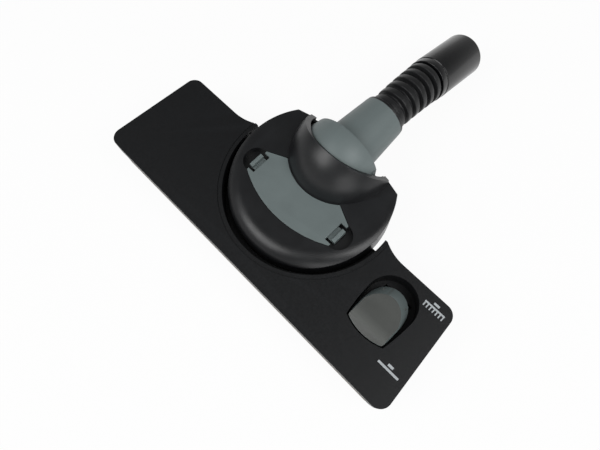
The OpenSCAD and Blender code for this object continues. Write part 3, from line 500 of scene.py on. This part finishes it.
class NOZZLE_OT_shells(bpy.types.Operator):
    """Rounds the plate and the bumper strip, and grains the plate and its housing"""

    bl_idname = "nozzle.shells"
    bl_label = "Shells"

    def execute(self, context):
        black = grained_plastic("plate_grain", colours().shell)
        under = grained_plastic("housing_grain", shade(colours().shell, 0.9), rough=0.55)
        strip = soft_rubber("bumper_rubber", colours().bumper, 0.6)
        moulded_copy("top_cover", "plate_shell", black, "nozzle", sizes().edge, 3, slot="shell_black")
        finish_node("base_housing", under)
        moulded_copy("front_bumper", "bumper_strip", strip, "nozzle", 0.5, 2, slot="bumper")
        return {"FINISHED"}


class NOZZLE_OT_sole(bpy.types.Operator):
    """Gives the sole its brushed steel and the lint strips their felt"""

    bl_idname = "nozzle.sole"
    bl_label = "Sole"

    def execute(self, context):
        steel = brushed_metal("sole_steel", colours().steel)
        felt = short_pile("lint_pile", colours().felt)
        moulded_copy("sole_plate", "sole_sheet", steel, "nozzle", 0.25, 1, slot="steel")
        finish_node("lint_strip_front", felt)
        finish_node("lint_strip_rear", felt)
        return {"FINISHED"}


class NOZZLE_OT_fasteners(bpy.types.Operator):
    """Gives the screws, pins, axles and the spring their steel"""

    bl_idname = "nozzle.fasteners"
    bl_label = "Fasteners"

    def execute(self, context):
        steel = brushed_metal("pin_steel", colours().steel, 0.25, (1.0, 1.0, 0.2))
        pins = ("pedal_pin", "cam_pin", "wheel_axle_left", "wheel_axle_right")
        for node in ("cover_screws", "ring_screws", "pedal_spring") + pins:
            finish_node(node, steel)
        return {"FINISHED"}


# Below the lid's underside and below its top, where the painted shade on the head is darkest and where it has
# faded out
RECESS_FLOOR = 0.002
RECESS_TOP = 0.001


class NOZZLE_OT_head(bpy.types.Operator):
    """Rounds the turning head and gives it its satin finish"""

    bl_idname = "nozzle.head"
    bl_label = "Head"

    def execute(self, context):
        # The head's colour holds painted shade below the lid's top
        lid_low, lid_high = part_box("lid")
        recess = (lid_low[2] - RECESS_FLOOR, lid_high[2] - RECESS_TOP)
        shell = satin_black("head_shell", colours().hood, recess)
        tray = grained_plastic("tray_grain", shade(colours().shell, 0.9), rough=0.55)
        moulded_copy("head_cover", "head_shell", shell, "head", 0.5, 2, slot="shell_black")
        finish_node("head_base", tray)
        finish_node("swivel_ring", satin_plastic("ring_plastic", colours().grey))
        finish_node("swivel_seal", soft_rubber("seal_rubber", colours().rubber))
        return {"FINISHED"}


class NOZZLE_OT_lid(bpy.types.Operator):
    """Rounds the lid and its latches"""

    bl_idname = "nozzle.lid"
    bl_label = "Lid"

    def execute(self, context):
        plastic = satin_plastic("lid_plastic", colours().grey, 0.4)
        moulded_copy("lid", "crescent_lid", plastic, "lid", 0.35, 2, slot="grey_plastic")
        return {"FINISHED"}


# Front, middle and back of the pedal's painted crest highlight, behind its front edge
CREST_HIGHLIGHT_BAND = (0.003, 0.0065, 0.013)


class NOZZLE_OT_pedal(bpy.types.Operator):
    """Rounds the foot pedal"""

    bl_idname = "nozzle.pedal"
    bl_label = "Pedal"

    def execute(self, context):
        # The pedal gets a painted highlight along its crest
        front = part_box("pedal")[0][1]
        band = tuple(front + reach for reach in CREST_HIGHLIGHT_BAND)
        # Painted side light: the pedal's steeper faces take the paler grey
        plastic = satin_plastic("pedal_plastic", colours().pedal, 0.36, painted_crest_highlight=band, painted_side_light=colours().grey)
        moulded_copy("pedal", "foot_pedal", plastic, "pedal", sizes().pedal_edge, 3, slot="pedal_grey")
        return {"FINISHED"}


class NOZZLE_OT_neck(bpy.types.Operator):
    """Rounds the ball neck and its end ring"""

    bl_idname = "nozzle.neck"
    bl_label = "Neck"

    def execute(self, context):
        plastic = satin_plastic("neck_plastic", colours().grey, 0.45, (1.0, 0.15, 1.0))
        gloss = polished_plastic("ring_gloss", colours().tube, 0.3)
        moulded_copy("neck", "ball_neck", plastic, "neck", 0.5, 2, slot="grey_plastic")
        moulded_copy("neck_ring", "neck_end_ring", gloss, "neck", 0.35, 2, slot="gloss_black")
        return {"FINISHED"}


# The cuff's radii, with the rings growing from the first to the last
GROOVE_RADIUS = 0.0124
BORE_RADIUS = 0.0118
RING_FIRST = 0.0156
RING_LAST = 0.0169

# Plain cuff before the first ring and after the last
FRONT_MARGIN = 0.003
REAR_MARGIN = 0.0022

# How far a ring's flank runs outside its width at the foot and inside it at the crown, and its rounding
RING_FOOT = 0.0001
RING_CROWN = 0.0003
RING_ROUNDING = 0.0006

CUFF_STEPS = 72
BORE_STEPS = 12
TOLERANCE = 1e-6

# The tube's radii, and the groove between its collar and the straight part
TUBE_RADIUS = 0.01775
TUBE_BORE = 0.016
COLLAR_RADIUS = TUBE_RADIUS - 0.0003
COLLAR_GROOVE_RADIUS = COLLAR_RADIUS - 0.0005
COLLAR_END = 0.0056
COLLAR_GROOVE = (0.0058, 0.0064)
STRAIGHT_START = 0.0067
SOCKET_DEPTH = 0.005
TUBE_CHAMFER = 0.0008
TUBE_ROUNDING = 0.0005
TUBE_STEPS = 96


def cuff_frame(distance):
    """Matrix at a distance along the cuff's curve, with +Z along the cuff.

    The curve starts at the neck's end, at the height of the neck's joint."""
    length = sizes().cuff_length
    droop = sizes().cuff_droop
    radius = length / droop
    start = Vector((0.0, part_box("neck")[1][1], JOINTS["neck_tilt"]["pos_m"][2]))
    angle = droop * distance / length
    centre = start + Vector((0.0, radius * math.sin(angle), -radius * (1 - math.cos(angle))))
    return Matrix.Translation(centre) @ Matrix.Rotation(-math.pi / 2 - angle, 4, "X")


def cuff_profile(first, last):
    """(distance, radius) points of the ribbed sleeve's outside between two distances, in metres."""
    span = sizes()
    gaps = span.ring_count - 1
    pitch = (span.cuff_length - FRONT_MARGIN - REAR_MARGIN - span.ring_width) / gaps
    points = [(0.0, GROOVE_RADIUS)]
    for i in range(span.ring_count):
        top = RING_FIRST + (RING_LAST - RING_FIRST) * i / gaps
        left = FRONT_MARGIN + i * pitch
        right = left + span.ring_width
        points.append((left - RING_FOOT, GROOVE_RADIUS))
        points.append((left + RING_CROWN, top))
        points.append((right - RING_CROWN, top))
        points.append((right + RING_FOOT, GROOVE_RADIUS))
    points = rounded(points + [(span.cuff_length, GROOVE_RADIUS)], RING_ROUNDING)
    return [p for p in points if first - TOLERANCE <= p[0] <= last + TOLERANCE]


def cuff_half(name, first, last, material, stands_for=()):
    """One half of the rubber cuff as a closed sleeve along the cuff's curve."""
    outer = cuff_profile(first, last)
    if outer[0][0] > first + TOLERANCE:
        outer.insert(0, (first, GROOVE_RADIUS))
    if outer[-1][0] < last - TOLERANCE:
        outer.append((last, GROOVE_RADIUS))
    inner = [(last + (first - last) * i / BORE_STEPS, BORE_RADIUS) for i in range(BORE_STEPS + 1)]

    def build(form):
        rings = []
        for distance, radius in outer + inner:
            rings.append(circle(form, cuff_frame(distance), radius, 0.0, CUFF_STEPS))
        join_rings(form, rings + [rings[0]])

    piece = bpy.data.objects.new(name, mesh_from(name, build, 50.0))
    bpy.context.scene.collection.objects.link(piece)
    piece.data.materials.append(material)
    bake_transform(piece)
    if stands_for:
        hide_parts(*stands_for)
    return piece


class NOZZLE_OT_cuff(bpy.types.Operator):
    """Builds the ribbed rubber cuff in two halves"""

    bl_idname = "nozzle.cuff"
    bl_label = "Cuff"

    def execute(self, context):
        rubber = soft_rubber("cuff_rubber", colours().rubber, 0.38)
        half = sizes().cuff_length / 2
        cuff_half("cuff_front", 0.0, half, rubber, ("cuff",))
        cuff_half("cuff_rear", half, sizes().cuff_length, rubber)
        return {"FINISHED"}


def tube_profile():
    """(radius, height) points in metres round the tube's wall: socket, collar, groove, outside and bore."""
    tube = sizes().tube_length
    points = [
        (BORE_RADIUS, 0.0),
        (COLLAR_RADIUS, 0.0),
        (COLLAR_RADIUS, COLLAR_END),
        (COLLAR_GROOVE_RADIUS, COLLAR_GROOVE[0]),
        (COLLAR_GROOVE_RADIUS, COLLAR_GROOVE[1]),
        (TUBE_RADIUS, STRAIGHT_START),
        (TUBE_RADIUS, tube - TUBE_CHAMFER),
        (TUBE_RADIUS - TUBE_CHAMFER, tube),
        (TUBE_BORE, tube),
        (TUBE_BORE, SOCKET_DEPTH),
        (BORE_RADIUS, SOCKET_DEPTH),
    ]
    return rounded(points + points[:2], TUBE_ROUNDING)[1:-1]


class NOZZLE_OT_tube(bpy.types.Operator):
    """Turns the connector tube with its collar and polishes it"""

    bl_idname = "nozzle.tube"
    bl_label = "Tube"

    def execute(self, context):
        to_world = cuff_frame(sizes().cuff_length)

        def build(form):
            rings = [circle(form, to_world, radius, height, TUBE_STEPS) for radius, height in tube_profile()]
            join_rings(form, rings + [rings[0]])

        gloss = polished_plastic("tube_gloss", colours().tube)
        new_piece("connector", mesh_from("connector", build, 40.0), gloss, "tube", "connector_tube",
                  slot="gloss_black")
        return {"FINISHED"}


# The plastic strip that holds the tufts, and where the tufts stand on it
BACKING = 0.0014
END_MARGIN = 0.0015
SIDE_MARGIN = 0.0004
TUFT_PITCH = 0.0028
BRISTLES_PER_TUFT = 9

# A bristle's spread at its root and tip, how much its length varies, its radii and its three corners
ROOT_SPREAD = 0.0008
TIP_SPREAD = 0.0013
LENGTH_SPREAD = 0.0005
ROOT_DEPTH = 0.001
ROOT_RADIUS = 0.00013
TIP_RADIUS = 0.00007
CORNERS = (0.0, 2.094, 4.189)


class NOZZLE_OT_brushes(bpy.types.Operator):
    """Grows the bristles and gives the carrier and lifter their plastic"""

    bl_idname = "nozzle.brushes"
    bl_label = "Brushes"

    def execute(self, context):
        fibre = bristle_fibre("bristle_fibre", colours().bristle)
        black = grained_plastic("carrier_grain", shade(colours().shell, 1.1), rough=0.6)
        finish_node("brush_carrier", black)
        finish_node("lifter", black)
        for node in ("front_brush", "rear_brush_left", "rear_brush_right"):
            self.grow(node, fibre)
        return {"FINISHED"}

    def grow(self, node, material):
        """Rows of tufts, each a bundle of fine tapered bristles that lean a little apart."""
        low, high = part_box(node)
        dice = random.Random(node)
        depth = (high[1] - low[1]) / 2 - SIDE_MARGIN
        middle = (low[1] + high[1]) / 2
        run = high[0] - low[0] - 2 * END_MARGIN

        def build(form):
            backing = bmesh.ops.create_cube(form, size=1.0)["verts"]
            bmesh.ops.scale(form, vec=(high[0] - low[0], high[1] - low[1], BACKING), verts=backing)
            centre = ((low[0] + high[0]) / 2, middle, high[2] - BACKING / 2)
            bmesh.ops.translate(form, vec=centre, verts=backing)
            count = int(run / TUFT_PITCH)
            for i in range(count + 1):
                x = low[0] + END_MARGIN + i * run / count
                for _ in range(BRISTLES_PER_TUFT):
                    self.bristle(form, dice, x, middle, depth, low[2], high[2] - ROOT_DEPTH)

        new_piece(node + "_fibres", mesh_from(node, build), material, "carrier", node, slot="bristle")

    def bristle(self, form, dice, x, y, depth, tip_z, root_z):
        """One three-sided bristle, whose root is sunk in the backing."""
        angle = dice.uniform(0, 2 * math.pi)
        out = math.sqrt(dice.random())
        along = out * math.cos(angle)
        across = out * math.sin(angle)
        root = Vector((x + ROOT_SPREAD * along, y + ROOT_SPREAD * across, root_z))
        shorter = dice.uniform(0.0, LENGTH_SPREAD)
        tip = Vector((x + TIP_SPREAD * along, y + depth * across, tip_z + shorter))
        rings = []
        for point, radius in ((root, ROOT_RADIUS), (tip, TIP_RADIUS)):
            corners = [Vector((radius * math.cos(a), radius * math.sin(a), 0.0)) for a in CORNERS]
            rings.append([form.verts.new(point + corner) for corner in corners])
        join_rings(form, rings)
        form.faces.new(rings[1])


class NOZZLE_OT_wheels(bpy.types.Operator):
    """Gives the two rear wheels their tread and rubber"""

    bl_idname = "nozzle.wheels"
    bl_label = "Wheels"

    def execute(self, context):
        rubber = soft_rubber("wheel_rubber", shade(colours().rubber, 1.4), 0.65)
        for node in ("wheel_left", "wheel_right"):
            moulded_copy(node, node + "_tread", rubber, node, 0.2, 1, slot="rubber_black")
        return {"FINISHED"}


def flat_shape(form, outlines, z, depth):
    """Thin plates from closed outlines of (x, y) in metres."""
    for outline in outlines:
        lower = [form.verts.new((x, y, z)) for x, y in outline]
        upper = [form.verts.new((x, y, z + depth)) for x, y in outline]
        form.faces.new(upper)
        join_rings(form, [lower, upper])


def bar(x0, y0, x1, y1):
    """The outline in metres of a rectangle whose two corners are given in mm."""
    return [(x0 * MM, y0 * MM), (x1 * MM, y0 * MM), (x1 * MM, y1 * MM), (x0 * MM, y1 * MM)]


# The two signs in mm: a comb for brushes down and a flat bar for brushes up, each with a small block above it
COMB_BACK = (115.6, 33.5, 132.6, 34.7)
COMB_BLOCK = (121.3, 36.0, 125.9, 37.6)
FIRST_TOOTH = (116.0, 30.6, 116.9, 33.5)
TOOTH_PITCH = 2.6
TEETH = 7
FLAT_BAR = (119.9, -19.15, 137.4, -17.55)
FLAT_BLOCK = (126.3, -16.4, 130.7, -14.6)
INK_SINK = 0.00002


class NOZZLE_OT_signs(bpy.types.Operator):
    """Prints the two setting signs beside the pedal"""

    bl_idname = "nozzle.signs"
    bl_label = "Signs"

    def execute(self, context):
        ink = printed_ink("sign_ink", colours().ink)
        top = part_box("top_cover")[1][2]
        comb = [bar(*COMB_BACK), bar(*COMB_BLOCK)]
        left, tip, right, root = FIRST_TOOTH
        for i in range(TEETH):
            comb.append(bar(left + TOOTH_PITCH * i, tip, right + TOOTH_PITCH * i, root))
        plain = [bar(*FLAT_BAR), bar(*FLAT_BLOCK)]
        for name, shapes in (("sign_brush_down", comb), ("sign_brush_up", plain)):
            mesh = mesh_from(name, lambda form: flat_shape(form, shapes, top - INK_SINK, sizes().sign_depth))
            new_piece(name, mesh, ink, "nozzle")
        return {"FINISHED"}


# The floor: half its width, its drop below the part, its grey and how far it is shown as plain white
FLOOR_REACH = 4.0
FLOOR_DROP = 0.0001
FLOOR_GREY = 0.85
FLOOR_WHITENESS = 0.94

# Each lamp's name, place, width in metres and watts, and the point that all of them face
LAMPS = (
    ("front_lamp", (-0.36, -0.82, 1.06), 0.8, 8.5),
    ("side_lamp", (0.8, 0.2, 1.1), 0.8, 8.5),
    ("low_lamp", (0.9, -0.7, 0.3), 0.7, 2.6),
)
LAMP_TARGET = Vector((0.0, 0.06, 0.0))

# The world's strength at the horizon, its strength overhead, and how high the fall between them ends
HORIZON_LIGHT = 0.6
OVERHEAD_LIGHT = 0.22
FALL_END = 0.45

# The camera's place and its own axes, as fitted to the picture
LENS_MM = 30.0
SENSOR_MM = 36.0
CAMERA_PLACE = (0.1090, -0.06192, 0.380581)
CAMERA_RIGHT = Vector((0.7023426, 0.71080472, -0.03836048))
CAMERA_DOWN = Vector((0.66394008, -0.67356453, -0.324799))
CAMERA_AHEAD = Vector((-0.25670692, 0.20265112, -0.9450048))


class NOZZLE_OT_stage(bpy.types.Operator):
    """Sets the pale floor, the soft lamps, the world and the camera"""

    bl_idname = "nozzle.stage"
    bl_label = "Stage"

    def execute(self, context):
        scene = context.scene
        scene.view_settings.view_transform = "Standard"
        self.floor()
        for name, where, size, watts in LAMPS:
            self.lamp(name, where, size, watts)
        self.world(scene)
        self.camera(scene)
        return {"FINISHED"}

    def floor(self):
        def build(form):
            bmesh.ops.create_grid(form, x_segments=1, y_segments=1, size=FLOOR_REACH)

        mesh = mesh_from("floor", build)
        material, tree, surface = shader("floor_paper", 0.9, specular=0.1)
        surface.inputs["Base Color"].default_value = (FLOOR_GREY, FLOOR_GREY, FLOOR_GREY, 1.0)
        self.shown_white(tree, surface, FLOOR_WHITENESS)
        mesh.materials.append(material)
        obj = bpy.data.objects.new("floor", mesh)
        bpy.context.scene.collection.objects.link(obj)
        obj.location = (0.0, 0.0, -FLOOR_DROP)

    def shown_white(self, tree, surface, share):
        """Shows the floor mostly as plain white, so that the shadow on it stays faint."""
        path = tree.nodes.new("ShaderNodeLightPath").outputs
        seen = calculate(tree, "MAXIMUM", path["Is Camera Ray"], path["Is Glossy Ray"])
        seen = calculate(tree, "MAXIMUM", seen, path["Is Transmission Ray"])
        white = tree.nodes.new("ShaderNodeEmission")
        mixed = tree.nodes.new("ShaderNodeMixShader")
        tree.links.new(calculate(tree, "MULTIPLY", seen, share), mixed.inputs["Fac"])
        tree.links.new(surface.outputs["BSDF"], mixed.inputs[1])
        tree.links.new(white.outputs["Emission"], mixed.inputs[2])
        tree.links.new(mixed.outputs["Shader"], tree.nodes["Material Output"].inputs["Surface"])

    def lamp(self, name, where, size, watts):
        lamp = bpy.data.lights.new(name, "AREA")
        lamp.size = size
        lamp.energy = watts
        obj = bpy.data.objects.new(name, lamp)
        bpy.context.scene.collection.objects.link(obj)
        obj.location = where
        obj.rotation_euler = (LAMP_TARGET - Vector(where)).to_track_quat("-Z", "Y").to_euler()

    def world(self, scene):
        """Even light that is brighter near the horizon than overhead, as white walls give."""
        world = bpy.data.worlds.new("studio")
        scene.world = world
        world.use_nodes = True
        tree = world.node_tree
        back = tree.nodes["Background"]
        back.inputs["Color"].default_value = (1.0, 1.0, 1.0, 1.0)
        where = tree.nodes.new("ShaderNodeTexCoord").outputs["Generated"]
        split = tree.nodes.new("ShaderNodeSeparateXYZ")
        tree.links.new(where, split.inputs[0])
        strength = ramp(tree, split.outputs["Z"], HORIZON_LIGHT, OVERHEAD_LIGHT, (0.0, FALL_END))
        tree.links.new(strength, back.inputs["Strength"])

    def camera(self, scene):
        data = bpy.data.cameras.new("camera")
        data.lens = LENS_MM
        data.sensor_width = SENSOR_MM
        obj = bpy.data.objects.new("camera", data)
        scene.collection.objects.link(obj)
        turn = Matrix((CAMERA_RIGHT, -CAMERA_DOWN, -CAMERA_AHEAD)).transposed().to_4x4()
        obj.matrix_world = Matrix.Translation(CAMERA_PLACE) @ turn
        scene.camera = obj


# Panel and main

STEPS = ("shells", "sole", "fasteners", "head", "lid", "pedal", "neck", "cuff", "tube", "brushes", "wheels",
         "signs", "stage")


class NOZZLE_PT_panel(bpy.types.Panel):
    bl_label = "Floor nozzle"
    bl_idname = "NOZZLE_PT_panel"
    bl_space_type = "VIEW_3D"
    bl_region_type = "UI"
    bl_category = "Nozzle"

    def draw(self, context):
        layout = self.layout
        for group in (context.scene.nozzle_sizes, context.scene.nozzle_colours):
            for key in group.__annotations__:
                layout.prop(group, key)
        for step in STEPS:
            layout.operator("nozzle." + step)


CLASSES = (NozzleSizes, NozzleColours, NOZZLE_OT_shells, NOZZLE_OT_sole, NOZZLE_OT_fasteners, NOZZLE_OT_head,
           NOZZLE_OT_lid, NOZZLE_OT_pedal, NOZZLE_OT_neck, NOZZLE_OT_cuff, NOZZLE_OT_tube, NOZZLE_OT_brushes,
           NOZZLE_OT_wheels, NOZZLE_OT_signs, NOZZLE_OT_stage, NOZZLE_PT_panel)


def register():
    for item in CLASSES:
        bpy.utils.register_class(item)
    bpy.types.Scene.nozzle_sizes = bpy.props.PointerProperty(type=NozzleSizes)
    bpy.types.Scene.nozzle_colours = bpy.props.PointerProperty(type=NozzleColours)


def unregister():
    del bpy.types.Scene.nozzle_colours
    del bpy.types.Scene.nozzle_sizes
    for item in reversed(CLASSES):
        bpy.utils.unregister_class(item)


def main():
    register()
    for step in STEPS:
        getattr(bpy.ops.nozzle, step)()


if __name__ == "__main__":
    main()
